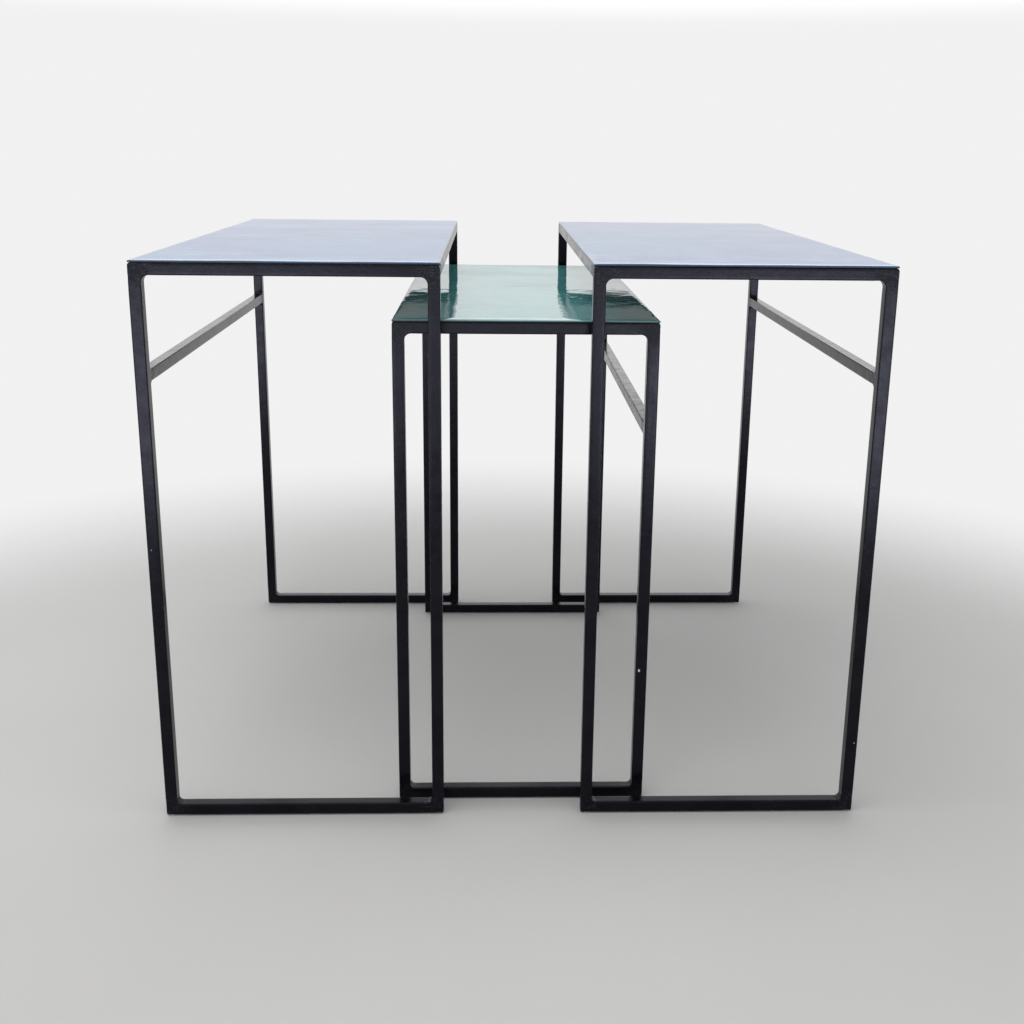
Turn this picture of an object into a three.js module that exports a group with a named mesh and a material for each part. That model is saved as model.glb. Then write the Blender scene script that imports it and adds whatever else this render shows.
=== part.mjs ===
// A set of three nesting tables: two long narrow tables with blue enamelled tops, and a smaller
// teal one that slides in under them. Every table is a frame of welded square tube with a thin top.
// Millimetres, +Z up. X runs along the row from left to right, and Y from the front to the rear.
// The origin is on the floor, under the middle of the row.

import * as THREE from 'three';

// Driving dimensions
const TUBE = 12.7;              // outside width of the square tube, half an inch
const WALL = 1.5;               // wall thickness of the tube
const TUBE_CORNER = 1.4;        // outside corner radius of the tube
const PANEL_THICKNESS = 3;      // enamelled steel sheet
const PANEL_CORNER = 2;         // radius of the panel's four corners in plan
const PANEL_EDGE = 0.9;         // rounding of the panel's upper and lower edges
const GLIDE_RADIUS = 4.5;       // small round glide under each corner
const GLIDE_HEIGHT = 1.2;
const STRETCHER_DROP = 108.5;   // from the top of the frame down to the top of the stretcher
const ROW_GAP = 151.5;          // free space between the two large tables
const LARGE = { width: 305, depth: 610, height: 610 };
const SMALL = { width: 276, depth: 540, height: 549 };
const SMALL_SHIFT = 10.75;      // middle of the small table, to the right of the row's middle
const SMALL_SETBACK = 30.5;     // front of the small table, behind the front of the large ones

// How finely the round shapes are divided
const CORNER_STEPS = 3;
const EDGE_STEPS = 3;
const GLIDE_STEPS = 24;

// Materials
const blackPaint = new THREE.MeshStandardMaterial({ color: 0x16171b, roughness: 0.42, metalness: 0.1 });
const blueEnamel = new THREE.MeshStandardMaterial({ color: 0x3c6aa7, roughness: 0.12, metalness: 0 });
const tealEnamel = new THREE.MeshStandardMaterial({ color: 0x549597, roughness: 0.08, metalness: 0 });
const clearRubber = new THREE.MeshStandardMaterial({ color: 0x9a9c9b, roughness: 0.35, metalness: 0 });

// World directions
const RIGHT = new THREE.Vector3(1, 0, 0);
const LEFT = new THREE.Vector3(-1, 0, 0);
const REAR = new THREE.Vector3(0, 1, 0);
const UP = new THREE.Vector3(0, 0, 1);
const DOWN = new THREE.Vector3(0, 0, -1);

// A rectangle round the origin with round corners, as a closed outline.
function roundedRectangle(outline, width, height, radius) {
  const x = width / 2 - radius;
  const y = height / 2 - radius;
  outline.absarc(x, y, radius, 0, Math.PI / 2, false);
  outline.absarc(-x, y, radius, Math.PI / 2, Math.PI, false);
  outline.absarc(-x, -y, radius, Math.PI, 1.5 * Math.PI, false);
  outline.absarc(x, -y, radius, 1.5 * Math.PI, 2 * Math.PI, false);
  outline.closePath();
  return outline;
}

// Square outline with sharp corners, for the bore of a tube.
function squareHole(width) {
  const h = width / 2;
  const hole = new THREE.Path();
  hole.moveTo(-h, -h);
  hole.lineTo(-h, h);
  hole.lineTo(h, h);
  hole.lineTo(h, -h);
  hole.closePath();
  return hole;
}

// Square tube from local Z = 0 to Z = length. With mitred ends, its local +X side is the inner side
// of a frame: both ends are cut at 45 degrees, and that side is shorter by the tube's width at each end.
function tubeGeometry(length, mitred) {
  const section = roundedRectangle(new THREE.Shape(), TUBE, TUBE, TUBE_CORNER);
  section.holes.push(squareHole(TUBE - 2 * WALL));
  const geometry = new THREE.ExtrudeGeometry(section, {
    depth: length,
    bevelEnabled: false,
    curveSegments: CORNER_STEPS,
  });
  if (mitred) {
    const position = geometry.attributes.position;
    for (let i = 0; i < position.count; i += 1) {
      const cut = position.getX(i) + TUBE / 2;
      const atStart = position.getZ(i) < length / 2;
      position.setZ(i, atStart ? cut : length - cut);
    }
    geometry.computeVertexNormals();
  }
  return geometry;
}

// A tube that starts at `start` and runs along `axis`, with its local +X side facing `inner`.
function tube(name, length, start, axis, inner, mitred) {
  const mesh = new THREE.Mesh(tubeGeometry(length, mitred), blackPaint);
  const across = new THREE.Vector3().crossVectors(axis, inner);
  const turn = new THREE.Matrix4().makeBasis(inner, across, axis);
  mesh.quaternion.setFromRotationMatrix(turn);
  mesh.position.set(...start);
  mesh.name = name;
  return mesh;
}

// The four mitred tubes of one upright loop: two legs, a top rail and a bottom rail on the floor.
// `y` is the middle of the loop's tubes.
function uprightLoop(name, width, low, high, y) {
  const half = TUBE / 2;
  const side = width / 2 - half;
  const height = high - low;
  return [
    tube(`${name}_left_leg`, height, [-side, y, low], UP, RIGHT, true),
    tube(`${name}_right_leg`, height, [side, y, low], UP, LEFT, true),
    tube(`${name}_bottom_rail`, width, [-width / 2, y, low + half], RIGHT, UP, true),
    tube(`${name}_top_rail`, width, [-width / 2, y, high - half], RIGHT, DOWN, true),
  ];
}

// Thin enamelled top, flush with the outside of the frame, with soft edges all round.
function topPanel(name, width, depth, top, enamel) {
  const outline = roundedRectangle(
    new THREE.Shape(),
    width - 2 * PANEL_EDGE,
    depth - 2 * PANEL_EDGE,
    PANEL_CORNER - PANEL_EDGE,
  );
  const geometry = new THREE.ExtrudeGeometry(outline, {
    depth: PANEL_THICKNESS - 2 * PANEL_EDGE,
    bevelThickness: PANEL_EDGE,
    bevelSize: PANEL_EDGE,
    bevelSegments: EDGE_STEPS,
    curveSegments: CORNER_STEPS,
  });
  const mesh = new THREE.Mesh(geometry, enamel);
  mesh.position.set(0, 0, top - PANEL_THICKNESS + PANEL_EDGE);
  mesh.name = name;
  return mesh;
}

// Small round glide that stands on the floor, under a corner of the frame.
function glide(name, x, y) {
  const geometry = new THREE.CylinderGeometry(GLIDE_RADIUS, GLIDE_RADIUS, GLIDE_HEIGHT, GLIDE_STEPS);
  const mesh = new THREE.Mesh(geometry, clearRubber);
  mesh.rotation.set(Math.PI / 2, 0, 0);
  mesh.position.set(x, y, GLIDE_HEIGHT / 2);
  mesh.name = name;
  return mesh;
}

// One whole table, with its own middle on the floor at the group's origin. Its single stretcher is
// on `stretcherSide`, -1 for left and 1 for right, and the other side is open below the side rail.
function table(name, size, enamel, stretcherSide) {
  const group = new THREE.Group();
  const half = TUBE / 2;
  const low = GLIDE_HEIGHT;
  const high = size.height - PANEL_THICKNESS;
  const frontY = -size.depth / 2 + half;
  const rearY = size.depth / 2 - half;
  const sideX = size.width / 2 - half;
  const sideLength = size.depth - 2 * TUBE;
  const sideStart = frontY + half;
  const stretcherZ = high - STRETCHER_DROP - half;

  group.add(...uprightLoop(`${name}_front`, size.width, low, high, frontY));
  group.add(...uprightLoop(`${name}_rear`, size.width, low, high, rearY));
  group.add(tube(`${name}_left_side_rail`, sideLength, [-sideX, sideStart, high - half], REAR, RIGHT, false));
  group.add(tube(`${name}_right_side_rail`, sideLength, [sideX, sideStart, high - half], REAR, LEFT, false));
  group.add(tube(`${name}_stretcher`, sideLength, [stretcherSide * sideX, sideStart, stretcherZ], REAR, RIGHT, false));
  group.add(topPanel(`${name}_top_panel`, size.width, size.depth, size.height, enamel));

  for (const [endName, y] of [['front', frontY], ['rear', rearY]]) {
    for (const [sideName, x] of [['left', -sideX], ['right', sideX]]) {
      group.add(glide(`${name}_${endName}_${sideName}_glide`, x, y));
    }
  }
  return group;
}

const leftTable = table('left_table', LARGE, blueEnamel, -1);
leftTable.position.x = -(ROW_GAP + LARGE.width) / 2;

const rightTable = table('right_table', LARGE, blueEnamel, 1);
rightTable.position.x = (ROW_GAP + LARGE.width) / 2;

const smallTable = table('small_table', SMALL, tealEnamel, 1);
smallTable.position.x = SMALL_SHIFT;
smallTable.position.y = SMALL_SETBACK + (SMALL.depth - LARGE.depth) / 2;

const nestingTables = new THREE.Group();
nestingTables.add(leftTable, rightTable, smallTable);

export default nestingTables;
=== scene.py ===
"""Looks of the nesting tables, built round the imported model.

Three free-standing tables: two large ones with blue enamelled tops and a small one with a teal top.
Metres, +Z up. X runs along the row, -Y is the front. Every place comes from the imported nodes.
"""

import math

import bpy
import numpy as np
from mathutils import Matrix, Vector, noise


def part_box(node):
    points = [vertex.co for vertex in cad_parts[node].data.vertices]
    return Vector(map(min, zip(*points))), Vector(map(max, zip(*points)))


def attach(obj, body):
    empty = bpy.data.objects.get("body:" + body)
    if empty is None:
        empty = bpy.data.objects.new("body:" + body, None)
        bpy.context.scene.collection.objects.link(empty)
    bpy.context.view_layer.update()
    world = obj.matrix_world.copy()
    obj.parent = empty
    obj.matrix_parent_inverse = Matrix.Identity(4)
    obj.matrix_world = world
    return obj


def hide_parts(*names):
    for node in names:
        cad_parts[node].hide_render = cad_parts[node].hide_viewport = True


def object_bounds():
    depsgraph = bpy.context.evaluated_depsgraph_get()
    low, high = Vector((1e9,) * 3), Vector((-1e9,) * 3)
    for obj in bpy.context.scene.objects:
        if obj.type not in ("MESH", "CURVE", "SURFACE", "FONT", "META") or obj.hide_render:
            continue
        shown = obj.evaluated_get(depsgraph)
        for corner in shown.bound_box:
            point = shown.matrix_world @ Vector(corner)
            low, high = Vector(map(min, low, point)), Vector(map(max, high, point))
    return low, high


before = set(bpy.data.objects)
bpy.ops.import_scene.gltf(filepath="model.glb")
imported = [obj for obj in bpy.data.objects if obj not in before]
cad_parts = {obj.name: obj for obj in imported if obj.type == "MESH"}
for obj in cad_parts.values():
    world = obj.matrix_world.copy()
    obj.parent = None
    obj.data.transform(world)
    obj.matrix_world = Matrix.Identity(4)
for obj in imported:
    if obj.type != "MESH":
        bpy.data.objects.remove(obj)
cad_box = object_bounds()

MM = 0.001
TABLES = ("left_table", "right_table", "small_table")
LEGS_AND_RAILS = ("left_leg", "top_rail", "right_leg", "bottom_rail")

# Welded frames
TUBE_ROUNDING = 1.4 * MM        # long edges of the square tube
TOP_CORNER = 3.2 * MM           # outer corners of a loop, dressed round after welding
BOTTOM_CORNER = 1.7 * MM
TOP_FILLET = 7.5 * MM           # weld fillets at the inner corners of a loop
BOTTOM_FILLET = 5.0 * MM
RAIL_FILLET = 5.0 * MM          # under the ends of a side rail
STRETCHER_FILLET = 5.0 * MM     # above and below the ends of a stretcher
WELD_CORE = 9 * MM              # the dressed weld round a corner, and where it fades out
WELD_REACH = 24 * MM
LUMP_DEPTH = 0.35 * MM          # hollows that dressing leaves
LUMP_SIZE = 4.5 * MM
EDGE_STEPS = 4                  # rows of faces round an edge, across a face and along a fillet
FACE_STEPS = 4
FILLET_STEPS = 8
WELD_STEPS = 10

# Enamelled tops
PANEL_CORNER = 2.4 * MM         # corners in plan
PANEL_EDGE = 1.1 * MM           # rounding of the upper edge
PANEL_UNDER_EDGE = 0.4 * MM     # rounding of the lower edge
PANEL_STEP = 2.7 * MM
ROLL_WIDTH = 7 * MM             # the sheet curves down towards its edges
ROLL_RADIUS = 31 * MM
WAVES = (                       # heights and lengths of the ripples in the glaze
    (0.62 * MM, 78 * MM),
    (0.16 * MM, 26 * MM),
    (0.09 * MM, 11 * MM),
)
THIN_EDGE = 1.3 * MM            # the enamel is thin, and another colour, about this far in from the edge; on the teal top that colour is pale, a painted highlight along the rounded edge
DARK_RIM = 1.9 * MM             # height of the lower part of the rim, painted near black as the shadow under the top's edge, where the enamel ends
DARK_RIM_FADE = 0.55            # share of that height over which it ends

# Glides
GLIDE_ROUNDING = 0.7            # of its lower edge, as a share of its height
GLIDE_STEPS = 40

# Camera, placed from the front of the large tables and the middle of the row
CAMERA_OUT = 1.1297
CAMERA_LEFT = 0.0270
CAMERA_HEIGHT = 0.7248
CAMERA_PITCH = 14.12            # degrees down
CAMERA_YAW = 1.83               # degrees to the right
CAMERA_ROLL = 0.66
CAMERA_LENS = 40.23             # mm, on a sensor this wide
CAMERA_SENSOR = 36
CAMERA_SHIFT = (-0.0124, -0.0804)
CAMERA_NEAR = 0.05

# Stage
FLOOR_MIDDLE = (0.0, -0.4)      # a little in front of the tables
FLOOR_RADIUS = 3.0
FLOOR_STEPS = 96
FLOOR_FADE = (0.95, 1.6)        # the floor fades into the backdrop between these distances
HORIZON_GLOW = 0.90             # brightness of the backdrop at the horizon, just above and overhead
LOW_GLOW = 1.16
OVERHEAD_GLOW = 0.45
BACK_GLOW = 1.0                 # added behind the tables, above the horizon
HORIZON_RISE = (0.09, 0.13)     # where the backdrop changes, as Z of the direction looked in
OVERHEAD_FALL = (0.17, 0.60)
BACK_RISE = (0.15, 0.22)
BACK_FALL = (0.75, 0.42)
BACK_SIDE = (0.35, 0.80)        # and as Y of that direction
BACKDROP_TINT = (0.985, 0.98, 0.985, 1.0)

# Lights: the place, the size of the face and the brightness. Those on the ground stand far ahead of
# the tables, for the satin paint to mirror in the rails and the upper halves of the legs.
OVERHEAD_BOX = ((-0.5, -0.4, 2.5), (2.2, 2.0), 2.1)
OVERHEAD_TARGET = (0, 0, 0.4)
GROUND_BOXES = {
    "left": ((-2.15, -6.3, -0.81), (2.5, 1.5), 5.0),
    "middle": ((0.0, -6.3, -0.46), (1.8, 0.6), 2.3),
    "right": ((2.15, -6.3, -0.81), (2.5, 1.5), 5.5),
}


# ---------------------------------------------------------------------------------------------
# Mesh tools
# ---------------------------------------------------------------------------------------------

def smoothstep(x):
    x = np.clip(x, 0, 1)
    return x * x * (3 - 2 * x)


def band_faces(rows, around, closed=False):
    """Quads between neighbouring rows of points, each row closing on itself."""
    faces = []
    for i in range(rows if closed else rows - 1):
        here, there = i * around, (i + 1) % rows * around
        for j in range(around):
            k = (j + 1) % around
            faces.append((here + j, here + k, there + k, there + j))
    return faces


def end_caps(rows, around):
    """The two flat ends of a band of faces."""
    return [tuple(range(around))[::-1], tuple(range((rows - 1) * around, rows * around))]


def facing_out(points, faces):
    """The faces of a closed mesh, turned to face outward."""
    fans = np.array([(f[0], f[i], f[i + 1]) for f in faces for i in range(1, len(f) - 1)])
    a, b, c = (points[fans[:, i]] for i in range(3))
    volume = np.einsum("ij,ij->", a, np.cross(b, c))
    return faces if volume > 0 else [face[::-1] for face in faces]


def point_normals(points, faces):
    """Normals of the points. Each quad counts by its area, so that flat faces stay flat."""
    quads = np.array(faces)
    corners = points[quads]
    vectors = np.cross(corners[:, 2] - corners[:, 0], corners[:, 3] - corners[:, 1])
    normals = np.zeros_like(points)
    for corner in range(4):
        np.add.at(normals, quads[:, corner], vectors)
    return normals / np.maximum(np.linalg.norm(normals, axis=1, keepdims=True), 1e-12)


def noise_at(points, size, seed):
    """Smooth noise from -1 to 1 at each point, in lumps of about that size."""
    shift = Vector((seed, 2 * seed, 3 * seed))
    return np.array([noise.noise(Vector(p) / size + shift) for p in points])


def make_object(name, points, faces, normals, marks, flat_faces, flat_material=0):
    """A mesh object. The last `flat_faces` faces are flat and may have a material slot of their own.
    `marks` are named numbers at the points, which the materials read."""
    mesh = bpy.data.meshes.new(name)
    mesh.from_pydata(points.tolist(), [], [[int(i) for i in face] for face in faces])
    for key, values in marks.items():
        layer = mesh.attributes.new(key, "FLOAT", "POINT")
        layer.data.foreach_set("value", np.asarray(values, np.float32).ravel())
    smooth = len(faces) - flat_faces
    loops = []
    for polygon in mesh.polygons:
        polygon.use_smooth = polygon.index < smooth
        polygon.material_index = 0 if polygon.use_smooth else flat_material
        own = tuple(polygon.normal)
        loops += [tuple(normals[v]) if polygon.use_smooth else own for v in polygon.vertices]
    mesh.normals_split_custom_set(loops)
    obj = bpy.data.objects.new(name, mesh)
    bpy.context.scene.collection.objects.link(obj)
    return obj


def capped(name, rows, normals, marks):
    """A closed mesh from rows of points that close on themselves, with a flat cap at each end."""
    count, around = rows.shape[:2]
    points = rows.reshape(-1, 3)
    faces = facing_out(points, band_faces(count, around) + end_caps(count, around))
    return make_object(name, points, faces, normals.reshape(-1, 3), marks, flat_faces=2)


def stand_for(obj, node, body):
    """The piece takes the node's place on its body."""
    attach(obj, body)
    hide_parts(node)


# ---------------------------------------------------------------------------------------------
# Square tubes
# ---------------------------------------------------------------------------------------------

def tube_section(half):
    """One turn round a tube, as rows of (share, inset, across, edge). `share` runs from 0 on the
    outer face to 1 on the inner one, `inset` is how far a point lies back from its face, `across`
    is its place over the tube's width, and `edge` is 1 in the middle of a rounded edge."""
    r = TUBE_ROUNDING
    bend = np.linspace(0, math.pi / 2, EDGE_STEPS + 1)
    flat = np.linspace(0, 1, FACE_STEPS + 1)[1:-1]
    turn = []
    for here, side in ((0, -1), (1, 1)):
        there = 1 - here
        rounded = [
            (r * (1 - math.cos(a)), side * (half - r * (1 - math.sin(a))), math.sin(2 * a)) for a in bend
        ]
        for point in rounded:
            turn.append((here, *point))
        for f in flat:
            turn.append((here + (there - here) * f, r, side * half, 0))
        for point in rounded[::-1]:
            turn.append((there, *point))
        for f in flat:
            turn.append((there, 0, side * (half - r) * (1 - 2 * f), 0))
    return np.array(turn)


def section_rows(outline, half):
    """Rows of (u, v, across) points from an outline of rows (outer point, its outward normal, inner
    point, its outward normal), all in the UV plane, and each point's `edge` mark."""
    outer, outer_normal, inner, inner_normal = (outline[:, None, i] for i in range(4))
    share, inset, across, edge = (column[None, :, None] for column in tube_section(half).T)
    plane = (1 - share) * (outer - inset * outer_normal) + share * (inner - inset * inner_normal)
    width = np.broadcast_to(across, plane.shape[:2] + (1,))
    edges = np.broadcast_to(edge[..., 0], plane.shape[:2])
    return np.concatenate([plane, width], axis=2), edges


def half_corner(corner, away, outward, tube, rounding, fillet):
    """Outline rows from a loop's mitre, round the corner, and along one side to the weld's end."""
    rows = []
    for angle in np.linspace(math.pi / 4, 0, FILLET_STEPS + 1):
        u = math.cos(angle) * outward - math.sin(angle) * away
        outer = corner + (away - outward) * rounding + u * rounding
        inner = corner + (away - outward) * (tube + fillet) + u * fillet
        rows.append((outer, u, inner, -u))
    end = tube + WELD_REACH
    for t in np.linspace(0, 1, WELD_STEPS + 1)[1:]:
        outer = corner + away * (rounding + (end - rounding) * t)
        inner = corner - outward * tube + away * (tube + fillet + (end - tube - fillet) * t)
        rows.append((outer, outward, inner, -outward))
    return np.array(rows)


def loop_outline(low, high, tube):
    """The four sides of an upright loop, from one mitre to the next, in the XZ plane: up the left
    leg, along the top, down the right leg and back along the floor."""
    corners = [(low[0], low[1]), (low[0], high[1]), (high[0], high[1]), (high[0], low[1])]
    corners = [np.array(corner) for corner in corners]
    bottom, top = (BOTTOM_CORNER, BOTTOM_FILLET), (TOP_CORNER, TOP_FILLET)
    shapes = (bottom, top, top, bottom)
    sides = []
    for k in range(4):
        start, end = corners[k], corners[(k + 1) % 4]
        along = (end - start) / np.linalg.norm(end - start)
        outward = np.array((-along[1], along[0]))
        first = half_corner(start, along, outward, tube, *shapes[k])
        last = half_corner(end, -along, outward, tube, *shapes[(k + 1) % 4])
        sides.append(np.concatenate([first, last[::-1]]))
    return sides, corners


def weld_marks(points, centres):
    """1 at a weld and 0 beyond its reach."""
    distance = np.min([np.linalg.norm(points - c, axis=-1) for c in centres], axis=0)
    return smoothstep((WELD_REACH - distance) / (WELD_REACH - WELD_CORE))


def dress_welds(points, faces, marks, seed):
    """Sinks shallow hollows into the surface where a weld was ground, and returns the normals too."""
    normals = point_normals(points, faces)
    near = marks > 0
    lumps = np.zeros(len(points))
    lumps[near] = 0.5 + 0.5 * noise_at(points[near], LUMP_SIZE, seed)
    points = points - normals * (LUMP_DEPTH * marks * lumps)[:, None]
    return points, point_normals(points, faces)


def welded_loop(table, end, paint, seed):
    """The two legs and two rails of one loop, each a piece of its own that meets its neighbours at
    the mitres with the same points and normals, so that no seam shows."""
    nodes = [f"{table}_{end}_{part}" for part in LEGS_AND_RAILS]
    boxes = [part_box(node) for node in nodes]
    low = np.min([tuple(b[0]) for b in boxes], axis=0)
    high = np.max([tuple(b[1]) for b in boxes], axis=0)
    tube = high[1] - low[1]
    sides, corners = loop_outline(low[[0, 2]], high[[0, 2]], tube)
    outline = np.concatenate([side[:-1] for side in sides])
    rows, edges = section_rows(outline, tube / 2)
    count, around = rows.shape[:2]
    points = np.stack([rows[..., 0], rows[..., 2] + (low[1] + high[1]) / 2, rows[..., 1]], axis=-1)
    points = points.reshape(-1, 3)
    faces = facing_out(points, band_faces(count, around, closed=True))
    middle = (low[[0, 2]] + high[[0, 2]]) / 2
    centres = [c + np.sign(middle - c) * tube / 2 for c in corners]
    welds = weld_marks(points[:, [0, 2]], centres)
    points, normals = dress_welds(points, faces, welds, seed)
    points, normals = points.reshape(count, around, 3), normals.reshape(count, around, 3)
    welds, start = welds.reshape(count, around), 0
    for node, side in zip(nodes, sides):
        pick = np.arange(start, start + len(side)) % count
        marks = {"edge": edges[pick], "weld": welds[pick]}
        piece = capped(f"{node}_painted", points[pick], normals[pick], marks)
        piece.data.materials.append(paint)
        stand_for(piece, node, table)
        start += len(side) - 1


def butt_end(fillet):
    """Distance from the leg, rise above the tube and normal (along, up), from inside the leg out to
    the weld's end. The tube runs a little way into the leg, so that no groove is left round it."""
    rows = [(-2 * TUBE_ROUNDING, fillet, (0.0, 1.0))]
    for angle in np.linspace(math.pi / 2, 0, FILLET_STEPS + 1):
        along, up = math.sin(angle), math.cos(angle)
        rows.append((fillet * (1 - along), fillet * (1 - up), (along, up)))
    for t in np.linspace(0, 1, WELD_STEPS + 1)[1:]:
        rows.append((fillet + (WELD_REACH - fillet) * t, 0.0, (0.0, 1.0)))
    return rows


def butted_tube(node, table, paint, fillet, fillet_above, seed):
    """A tube that runs from front to rear between two loops, with a fillet under each end, and above
    each end too if there is a leg to weld it to."""
    low, high = (np.array(c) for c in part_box(node))
    tube = high[0] - low[0]
    end = butt_end(fillet)
    outline = []
    for y, away, rows in ((low[1], 1, end), (high[1], -1, end[::-1])):
        for along, rise, normal in rows:
            above = (rise, normal) if fillet_above else (0.0, (0.0, 1.0))
            top = (y + away * along, high[2] + above[0])
            top_normal = (away * above[1][0], above[1][1])
            bottom = (y + away * along, low[2] - rise)
            bottom_normal = (away * normal[0], -normal[1])
            outline.append((top, top_normal, bottom, bottom_normal))
    rows, edges = section_rows(np.array(outline), tube / 2)
    count, around = rows.shape[:2]
    points = np.stack([rows[..., 2] + (low[0] + high[0]) / 2, rows[..., 0], rows[..., 1]], axis=-1)
    points = points.reshape(-1, 3)
    faces = facing_out(points, band_faces(count, around) + end_caps(count, around))[:-2]
    welds = weld_marks(points[:, 1:2], [np.array((low[1],)), np.array((high[1],))])
    points, normals = dress_welds(points, faces, welds, seed)
    shape = (count, around, 3)
    marks = {"edge": edges, "weld": welds}
    piece = capped(f"{node}_painted", points.reshape(shape), normals.reshape(shape), marks)
    piece.data.materials.append(paint)
    stand_for(piece, node, table)


# ---------------------------------------------------------------------------------------------
# Enamelled tops
# ---------------------------------------------------------------------------------------------

def graded(half):
    """Places from -half to half, close together round the edge of a top and even between."""
    edge = [PANEL_EDGE * share for share in (0, 0.2, 0.45, 0.75, 1.0)]
    roll = [ROLL_WIDTH * share for share in (0.65, 1.0, 1.6)]
    steps = edge + [PANEL_CORNER] + roll
    inside = 2 * (half - steps[-1])
    even = np.linspace(-inside / 2, inside / 2, int(round(inside / PANEL_STEP)) + 1)
    left = [-half + s for s in steps[:-1]]
    return np.array(left + list(even) + [-x for x in reversed(left)])


def round_corners(x, y, half_x, half_y):
    """Bends the corners of a rectangular grid round, and says how far each point is from the edge."""
    over_x = np.abs(x) - (half_x - PANEL_CORNER)
    over_y = np.abs(y) - (half_y - PANEL_CORNER)
    edge = PANEL_CORNER - np.maximum(over_x, over_y)
    corner = (over_x > 0) & (over_y > 0)
    reach = np.maximum(over_x, over_y)
    shrink = np.where(corner, reach / np.maximum(np.hypot(over_x, over_y), 1e-12), 1.0)
    new_x = np.where(corner, np.sign(x) * (half_x - PANEL_CORNER + over_x * shrink), x)
    new_y = np.where(corner, np.sign(y) * (half_y - PANEL_CORNER + over_y * shrink), y)
    return new_x, new_y, edge


def enamel_drop(points, edge, seed):
    """How far the glossy surface lies below the panel's highest plane."""
    roll = np.clip(ROLL_WIDTH - edge, 0, None) ** 2 / (2 * ROLL_RADIUS)
    waves = sum(height * (0.5 + 0.5 * noise_at(points, length, seed)) for height, length in WAVES)
    inset = np.clip(PANEL_EDGE - edge, 0, PANEL_EDGE)
    rounding = PANEL_EDGE - np.sqrt(PANEL_EDGE ** 2 - inset ** 2)
    return roll + waves + rounding


def grid_faces(across, along):
    """Quads of a grid of points, with `across` points to a row."""
    return [
        (j * across + i, j * across + i + 1, (j + 1) * across + i + 1, (j + 1) * across + i)
        for j in range(along - 1) for i in range(across - 1)
    ]


def grid_rim(across, along):
    """The points round the outside of such a grid, in order."""
    rim = list(range(across))
    rim += [j * across + across - 1 for j in range(1, along)]
    rim += [(along - 1) * across + i for i in range(across - 2, -1, -1)]
    rim += [j * across for j in range(along - 2, 0, -1)]
    return rim


def lower_rings(rim, low, high):
    """Rings of points below a top's rim, round its lower edge and in to the flat underside."""
    middle, half = ((low + high) / 2)[:2], ((high - low) / 2)[:2]
    away = rim[:, :2] - middle
    outward = away - np.clip(away, -half + PANEL_CORNER, half - PANEL_CORNER)
    outward /= np.linalg.norm(outward, axis=1, keepdims=True)
    rings = []
    for angle in np.linspace(0, math.pi / 2, EDGE_STEPS + 1):
        ring = rim.copy()
        ring[:, :2] -= outward * PANEL_UNDER_EDGE * (1 - math.cos(angle))
        ring[:, 2] = low[2] + PANEL_UNDER_EDGE * (1 - math.sin(angle))
        rings.append(ring)
    return rings


def enamelled_top(table, enamel, ground_coat, slot, seed):
    """A thin enamelled sheet with a slightly uneven surface and soft edges. Its underside shows the
    grey ground coat."""
    node = f"{table}_top_panel"
    low, high = (np.array(c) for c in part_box(node))
    middle, half = (low + high) / 2, (high - low) / 2
    x, y, edge = round_corners(*np.meshgrid(graded(half[0]), graded(half[1])), half[0], half[1])
    along, across = x.shape
    sheet = np.stack([x + middle[0], y + middle[1], np.zeros_like(x)], axis=-1).reshape(-1, 3)
    sheet[:, 2] = high[2] - enamel_drop(sheet, edge.ravel(), seed)
    faces, last = grid_faces(across, along), grid_rim(across, along)
    rings = lower_rings(sheet[last], low, high)
    for k in range(len(rings)):
        ring = [len(sheet) + k * len(last) + j for j in range(len(last))]
        for j in range(len(last)):
            n = (j + 1) % len(last)
            faces.append((last[j], ring[j], ring[n], last[n]))
        last = ring
    points = np.concatenate([sheet] + rings)
    normals = point_normals(points, faces)
    # the lower part of the rim, which is painted dark as the shadow under the top's edge
    shaded_rim = smoothstep((low[2] + DARK_RIM - points[:, 2]) / (DARK_RIM_FADE * DARK_RIM))
    thin = np.ones(len(points))
    thin[:len(sheet)] = smoothstep(1.5 - edge.ravel() / THIN_EDGE)
    marks = {"shaded_rim": shaded_rim, "thin": thin}
    underside = tuple(reversed(last))
    piece = make_object(f"{node}_enamelled", points, faces + [underside], normals, marks, 1, flat_material=1)
    piece.data.materials.append(enamel)
    piece.data.materials.append(ground_coat)
    stand_for(piece, node, table)


# ---------------------------------------------------------------------------------------------
# Glides
# ---------------------------------------------------------------------------------------------

def glide(node, table, rubber):
    """A low clear bumper with a soft lower edge."""
    low, high = (np.array(c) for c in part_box(node))
    middle, radius, height = (low + high) / 2, (high[0] - low[0]) / 2, high[2] - low[2]
    bend = np.linspace(0, math.pi / 2, EDGE_STEPS + 2)
    soft = GLIDE_ROUNDING * height
    profile = [(radius - soft * (1 - math.sin(a)), low[2] + soft * (1 - math.cos(a))) for a in bend]
    profile.append((radius, high[2]))
    turn = np.linspace(0, 2 * math.pi, GLIDE_STEPS, endpoint=False)
    rows = np.array([
        [(middle[0] + r * math.cos(a), middle[1] + r * math.sin(a), z) for a in turn] for r, z in profile
    ])
    points = rows.reshape(-1, 3)
    faces = facing_out(points, band_faces(*rows.shape[:2]) + end_caps(*rows.shape[:2]))[:-2]
    normals = point_normals(points, faces)
    piece = capped(f"{node}_clear", rows, normals.reshape(rows.shape), {})
    piece.data.materials.append(rubber)
    stand_for(piece, node, table)


# ---------------------------------------------------------------------------------------------
# Materials
# ---------------------------------------------------------------------------------------------

MIX_A, MIX_B, MIX_RESULT = 6, 7, 2      # the colour sockets of a Mix node


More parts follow.
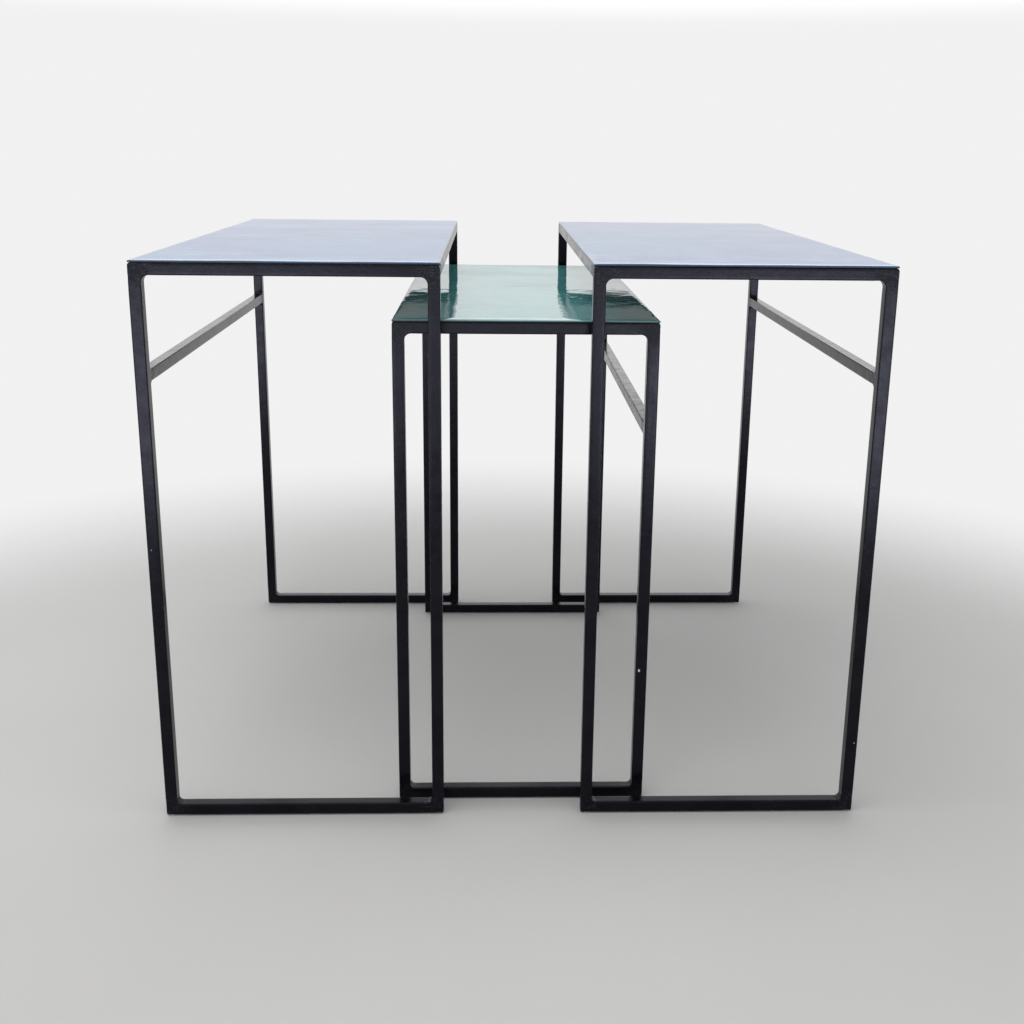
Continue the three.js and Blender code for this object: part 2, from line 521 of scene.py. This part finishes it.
class Nodes:
    """Builds shader nodes in a tree. `place` is the coordinate that its patterns are laid out in."""

    def __init__(self, tree, place):
        self.tree = tree
        self.place = self.add("TexCoord").outputs[place]

    def add(self, kind, inputs=(), **settings):
        node = self.tree.nodes.new("ShaderNode" + kind)
        for key, value in settings.items():
            setattr(node, key, value)
        for key, value in dict(inputs).items():
            if isinstance(value, bpy.types.NodeSocket):
                self.tree.links.new(value, node.inputs[key])
            else:
                node.inputs[key].default_value = value
        return node

    def noise(self, size, detail, rough=0.5, stretch=(1, 1, 1)):
        """Noise from 0 to 1 in lumps of about `size` metres, longer along an axis by `stretch`."""
        scale = [1 / (size * s) for s in stretch]
        place = self.add("VectorMath", {0: self.place, 1: scale}, operation="MULTIPLY").outputs[0]
        inputs = {"Vector": place, "Scale": 1.0, "Detail": detail, "Roughness": rough}
        return self.add("TexNoise", inputs).outputs["Fac"]

    def math(self, operation, a, b=0.0, c=0.0):
        return self.add("Math", {0: a, 1: b, 2: c}, operation=operation).outputs[0]

    def between(self, value, low, high, out_low=0.0, out_high=1.0):
        inputs = {"Value": value, "From Min": low, "From Max": high, "To Min": out_low, "To Max": out_high}
        return self.add("MapRange", inputs, interpolation_type="SMOOTHSTEP").outputs["Result"]

    def mark(self, name):
        return self.add("Attribute", attribute_name=name).outputs["Fac"]

    def mix(self, factor, a, b):
        node = self.add("Mix", {0: factor, MIX_A: a, MIX_B: b}, data_type="RGBA")
        return node.outputs[MIX_RESULT]

    def spot(self, centre, radius, ragged):
        """1 inside a ragged spot round a place, in metres, and 0 outside."""
        away = self.add("VectorMath", {0: self.place, 1: centre}, operation="DISTANCE").outputs["Value"]
        return self.between(self.math("ADD", away, ragged), radius, 0.75 * radius)

    def bump(self, height, distance, strength, normal=None):
        inputs = {"Height": height, "Distance": distance, "Strength": strength}
        if normal is not None:
            inputs["Normal"] = normal
        return self.add("Bump", inputs).outputs["Normal"]

    def use(self, socket, value):
        self.tree.links.new(value, self.shader.inputs[socket])


def new_material(name, **sockets):
    """Nodes of a new material, laid out in the object's own coordinates, in metres."""
    material = bpy.data.materials.new(name)
    material.use_nodes = True
    nodes = Nodes(material.node_tree, "Object")
    nodes.material = material
    nodes.shader = nodes.tree.nodes["Principled BSDF"]
    for key, value in sockets.items():
        nodes.shader.inputs[key.replace("_", " ")].default_value = value
    return nodes


def colour(r, g, b):
    return (r, g, b, 1.0)


PAINT_DARK = colour(0.0018, 0.0018, 0.0026)
PAINT_LIGHT = colour(0.0048, 0.0049, 0.0066)
# paler paint, for the wear along the edges and for the painted highlights over the welds
PAINT_WEAR_AND_GLINT = colour(0.075, 0.075, 0.078)
PAINT_CHIPPED = colour(0.62, 0.61, 0.58)
PAINT_SHEEN = colour(0.75, 0.78, 1.0)


def paint_chips():
    """Places where the paint is chipped through to pale primer, as (place, radius)."""
    chips = []
    for node, share_across, height, radius in (
        ("small_table_front_right_leg", 0.3, 0.158, 1.5 * MM),
        ("left_table_front_left_leg", 0.35, 0.31, 0.45 * MM),
        ("right_table_front_right_leg", 0.7, 0.085, 0.5 * MM),
    ):
        low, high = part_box(node)
        chips.append(((low.x + (high.x - low.x) * share_across, low.y, height), radius))
    return chips


def black_paint():
    """Satin black powder coat: a fine pebbled skin, uneven over the dressed welds and streaked lighter there
    as painted highlights, rubbed along the edges and chipped in a few places."""
    m = new_material("satin_black_paint", Metallic=0.0, IOR=1.27, Specular_Tint=PAINT_SHEEN)
    edge, weld = m.mark("edge"), m.mark("weld")
    cloud = m.noise(34 * MM, 3.0, 0.6)
    pebble = m.noise(1.1 * MM, 2.0, 0.55)
    ripple = m.noise(5 * MM, 3.0, 0.6)
    rubbed = m.noise(7 * MM, 4.0, 0.7)
    worn = m.math("MULTIPLY", edge, m.between(rubbed, 0.56, 0.70))
    base = m.mix(m.between(cloud, 0.3, 0.7), PAINT_DARK, PAINT_LIGHT)
    base = m.mix(m.math("MULTIPLY", worn, 0.35), base, PAINT_WEAR_AND_GLINT)
    # lighter streaks over the welds: painted highlights of the dressed weld, not scuffs
    weld_glints = m.between(m.noise(1.3 * MM, 3.0, 0.6, stretch=(2.2, 1, 1)), 0.52, 0.66, 0.0, 0.28)
    base = m.mix(m.math("MULTIPLY", weld, weld_glints), base, PAINT_WEAR_AND_GLINT)
    ragged = m.between(m.noise(1.1 * MM, 2.0), 0.3, 0.7, -0.45 * MM, 0.45 * MM)
    for place, radius in paint_chips():
        base = m.mix(m.spot(place, radius, ragged), base, PAINT_CHIPPED)
    rough = m.between(m.noise(14 * MM, 4.0, 0.65), 0.3, 0.7, 0.16, 0.26)
    rough = m.math("ADD", rough, m.math("MULTIPLY", weld, 0.08))
    skin = m.bump(pebble, 0.05 * MM, 0.6)
    skin = m.bump(ripple, 0.12 * MM, 0.6, skin)
    dressed = m.math("MULTIPLY", m.noise(2.6 * MM, 3.0, 0.6), weld)
    m.use("Base Color", base)
    m.use("Roughness", rough)
    m.use("Normal", m.bump(dressed, 0.45 * MM, 1.0, skin))
    return m.material


def enamel(name, deep, pale, cool, edge_tone_and_highlight, rim_shadow_colour):
    """Glossy vitreous enamel, flooded on by hand: soft clouds and finer mottling, a rippled glassy
    skin, a thinner coat along the edge (painted pale as a highlight on the teal top), and a painted shadow
    on the lower part of the rim, where the enamel ends."""
    m = new_material(name, Metallic=0.0, IOR=1.52)
    clouds = m.noise(75 * MM, 3.0, 0.55)
    tints = m.noise(110 * MM, 2.0, 0.5)
    base = m.mix(m.between(clouds, 0.35, 0.65), deep, pale)
    base = m.mix(m.between(tints, 0.45, 0.65), base, cool)
    dark_mottle = m.between(m.noise(12 * MM, 4.0, 0.65), 0.45, 0.66, 0.0, 0.7)
    pale_mottle = m.between(m.noise(8 * MM, 3.0, 0.65), 0.50, 0.68, 0.0, 0.7)
    base = m.mix(pale_mottle, m.mix(dark_mottle, base, deep), pale)
    pooled = m.between(m.noise(90 * MM, 2.0), 0.42, 0.60, 0.95, 0.55)
    # the colour of the thin edge, which on the teal top is pale: a painted highlight along the rounded edge
    base = m.mix(m.math("MULTIPLY", m.mark("thin"), pooled), base, edge_tone_and_highlight)
    # the lower rim painted near black: a painted shadow under the top's edge
    base = m.mix(m.mark("shaded_rim"), base, rim_shadow_colour)
    rough = m.between(m.noise(60 * MM, 4.0, 0.6), 0.3, 0.7, 0.02, 0.045)
    rough = m.math("ADD", rough, m.math("MULTIPLY", m.mark("shaded_rim"), 0.3))
    m.use("Base Color", base)
    m.use("Roughness", rough)
    m.use("Normal", m.bump(m.noise(6 * MM, 2.0, 0.5), 0.05 * MM, 1.0))
    return m.material


def ground_coat():
    """Dull grey ground coat, speckled, on the underside of the tops."""
    m = new_material("grey_ground_coat", Metallic=0.0)
    speck = m.noise(1.6 * MM, 2.0, 0.7)
    cloud = m.noise(45 * MM, 3.0, 0.6)
    base = m.mix(m.between(cloud, 0.3, 0.7), colour(0.25, 0.255, 0.24), colour(0.33, 0.335, 0.315))
    base = m.mix(m.between(speck, 0.62, 0.72, 0.0, 0.6), base, colour(0.06, 0.062, 0.065))
    m.use("Base Color", base)
    m.use("Roughness", m.between(cloud, 0.3, 0.7, 0.42, 0.58))
    m.use("Normal", m.bump(speck, 0.05 * MM, 0.4))
    return m.material


def clear_rubber():
    """Clear rubber, a little cloudy and dusty."""
    m = new_material("clear_rubber", Metallic=0.0, IOR=1.45, Transmission_Weight=0.55)
    cloud = m.noise(2.5 * MM, 3.0, 0.6)
    base = m.mix(m.between(cloud, 0.3, 0.7), colour(0.62, 0.63, 0.62), colour(0.78, 0.79, 0.77))
    m.use("Base Color", base)
    m.use("Roughness", m.between(cloud, 0.3, 0.7, 0.25, 0.40))
    m.use("Normal", m.bump(cloud, 0.03 * MM, 0.4))
    return m.material


# ---------------------------------------------------------------------------------------------
# Camera, floor and light
# ---------------------------------------------------------------------------------------------

def add_camera():
    low, high = cad_box
    data = bpy.data.cameras.new("camera")
    data.lens = CAMERA_LENS
    data.sensor_width = CAMERA_SENSOR
    data.shift_x, data.shift_y = CAMERA_SHIFT
    data.clip_start = CAMERA_NEAR
    camera = bpy.data.objects.new("camera", data)
    bpy.context.scene.collection.objects.link(camera)
    turn = Matrix.Rotation(math.radians(-CAMERA_YAW), 4, "Z")
    turn @= Matrix.Rotation(math.radians(90 - CAMERA_PITCH), 4, "X")
    turn @= Matrix.Rotation(math.radians(CAMERA_ROLL), 4, "Z")
    place = Vector(((low.x + high.x) / 2 - CAMERA_LEFT, low.y - CAMERA_OUT, CAMERA_HEIGHT))
    camera.matrix_world = Matrix.Translation(place) @ turn
    bpy.context.scene.camera = camera


def floor_material():
    """Plain pale floor that fades into the backdrop away from the tables."""
    m = new_material("pale_floor", Metallic=0.0, Roughness=0.8, Specular_IOR_Level=0.25)
    cloud = m.noise(0.5, 3.0, 0.5)
    base = m.mix(m.between(cloud, 0.3, 0.7), colour(0.61, 0.606, 0.60), colour(0.63, 0.626, 0.62))
    m.use("Base Color", base)
    from_middle = m.add("VectorMath", {0: m.place}, operation="LENGTH").outputs["Value"]
    m.use("Alpha", m.between(from_middle, *FLOOR_FADE, 1.0, 0.0))
    return m.material


def add_floor():
    mesh = bpy.data.meshes.new("floor")
    turn = np.linspace(0, 2 * math.pi, FLOOR_STEPS, endpoint=False)
    points = [(FLOOR_RADIUS * math.cos(a), FLOOR_RADIUS * math.sin(a), 0) for a in turn]
    mesh.from_pydata(points, [], [tuple(range(len(points)))])
    floor = bpy.data.objects.new("floor", mesh)
    floor.location = (*FLOOR_MIDDLE, cad_box[0].z)
    floor.data.materials.append(floor_material())
    bpy.context.scene.collection.objects.link(floor)


def add_softbox(name, place, size, brightness, target):
    """A soft rectangular light that faces a target and isn't itself in the picture."""
    data = bpy.data.lights.new(name, "AREA")
    data.shape = "RECTANGLE"
    data.size, data.size_y = size
    data.energy = brightness * math.pi * size[0] * size[1]
    light = bpy.data.objects.new(name, data)
    light.location = place
    light.rotation_euler = (Vector(target) - Vector(place)).to_track_quat("-Z", "Y").to_euler()
    light.visible_camera = False
    bpy.context.scene.collection.objects.link(light)


def add_backdrop():
    """A plain backdrop all round: bright low down, dimmer overhead, with a soft glow behind the
    tables. Y and Z are those of the direction looked in."""
    world = bpy.data.worlds.new("backdrop")
    world.use_nodes = True
    w = Nodes(world.node_tree, "Generated")
    _, y, z = w.add("SeparateXYZ", {0: w.place}).outputs
    low = w.between(z, *HORIZON_RISE, HORIZON_GLOW, LOW_GLOW)
    overhead = w.between(z, *OVERHEAD_FALL, 0.0, OVERHEAD_GLOW - LOW_GLOW)
    above = w.math("MULTIPLY", w.between(z, *BACK_RISE), w.between(z, *BACK_FALL))
    back = w.math("MULTIPLY", w.between(y, *BACK_SIDE), above)
    strength = w.math("MULTIPLY_ADD", back, BACK_GLOW, w.math("ADD", low, overhead))
    background = w.tree.nodes["Background"]
    background.inputs["Color"].default_value = BACKDROP_TINT
    w.tree.links.new(strength, background.inputs["Strength"])
    bpy.context.scene.world = world


def build_stage():
    bpy.context.scene.view_settings.view_transform = "Standard"
    add_backdrop()
    add_floor()
    add_softbox("overhead_box", *OVERHEAD_BOX, OVERHEAD_TARGET)
    for name, box in GROUND_BOXES.items():
        x, _, z = box[0]
        add_softbox(f"{name}_ground_box", *box, (x, 0, z))


# ---------------------------------------------------------------------------------------------
# The whole set
# ---------------------------------------------------------------------------------------------

def build_tables():
    """Every piece of the three tables. The last number in each call is the seed of its pattern."""
    paint, rubber, grey = black_paint(), clear_rubber(), ground_coat()
    blue = enamel(
        "blue_enamel",
        deep=colour(0.030, 0.105, 0.335),
        pale=colour(0.085, 0.190, 0.420),
        cool=colour(0.045, 0.215, 0.420),
        edge_tone_and_highlight=colour(0.032, 0.080, 0.130),
        rim_shadow_colour=colour(0.006, 0.012, 0.028),
    )
    teal = enamel(
        "teal_enamel",
        deep=colour(0.062, 0.250, 0.268),
        pale=colour(0.105, 0.325, 0.338),
        cool=colour(0.085, 0.335, 0.325),
        # pale: a painted highlight along the rounded edge of the top
        edge_tone_and_highlight=colour(0.230, 0.440, 0.445),
        rim_shadow_colour=colour(0.010, 0.018, 0.020),
    )
    for number, table in enumerate(TABLES):
        small = table == "small_table"
        for k, end in enumerate(("front", "rear")):
            welded_loop(table, end, paint, 11.0 * number + 3.0 * k)
            for side in ("left", "right"):
                glide(f"{table}_{end}_{side}_glide", table, rubber)
        for k, side in enumerate(("left", "right")):
            butted_tube(f"{table}_{side}_side_rail", table, paint, RAIL_FILLET, False, 5.0 + number + k)
        butted_tube(f"{table}_stretcher", table, paint, STRETCHER_FILLET, True, 8.0 + number)
        finish = (teal, grey, "teal_enamel") if small else (blue, grey, "blue_enamel")
        enamelled_top(table, *finish, 20.0 + 7.0 * number)


add_camera()
build_tables()
build_stage()
